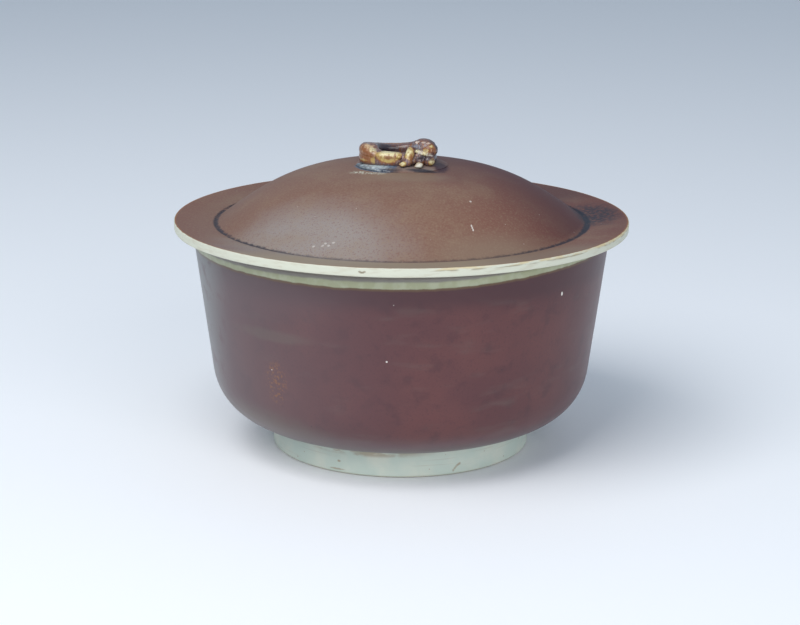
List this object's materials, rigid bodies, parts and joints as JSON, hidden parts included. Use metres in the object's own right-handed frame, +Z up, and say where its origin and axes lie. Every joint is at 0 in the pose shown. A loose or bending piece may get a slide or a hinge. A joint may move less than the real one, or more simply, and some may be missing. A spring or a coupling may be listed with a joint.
{
  "type": "covered bowl",
  "caption": "Round glazed stoneware bowl on a bare foot ring, with a loose domed lid that has a wide brim, a locating collar and a knob shaped as a curled beast.",
  "frame": {"origin": "centre of the circle that the foot ring stands on", "axes": "+Z up along the axis that the bowl was turned on, -Y towards the front, +X to the side of the beast's head"},
  "size_m": [0.181, 0.181, 0.1246],
  "materials": {
    "bowl_glaze": "satin",
    "lid_glaze": "satin",
    "bare_clay": "matte",
    "pooled_glaze": "gloss",
    "amber_glaze": "satin"
  },
  "bodies": {
    "bowl": {"bowl_body": "bowl_glaze", "foot_ring": "bare_clay"},
    "lid": {"lid_shell": "lid_glaze", "lid_collar": "bare_clay", "knob_pad": "pooled_glaze", "knob_body": "amber_glaze", "knob_hind_leg": "amber_glaze", "knob_fore_leg": "amber_glaze", "knob_far_paw": "amber_glaze", "knob_head": "amber_glaze"}
  },
  "joints": [
    {"name": "lid_lift", "type": "slide", "parent": "bowl", "child": "lid", "axis": [0, 0, 1], "range_m": [0, 0.16]}
  ]
}
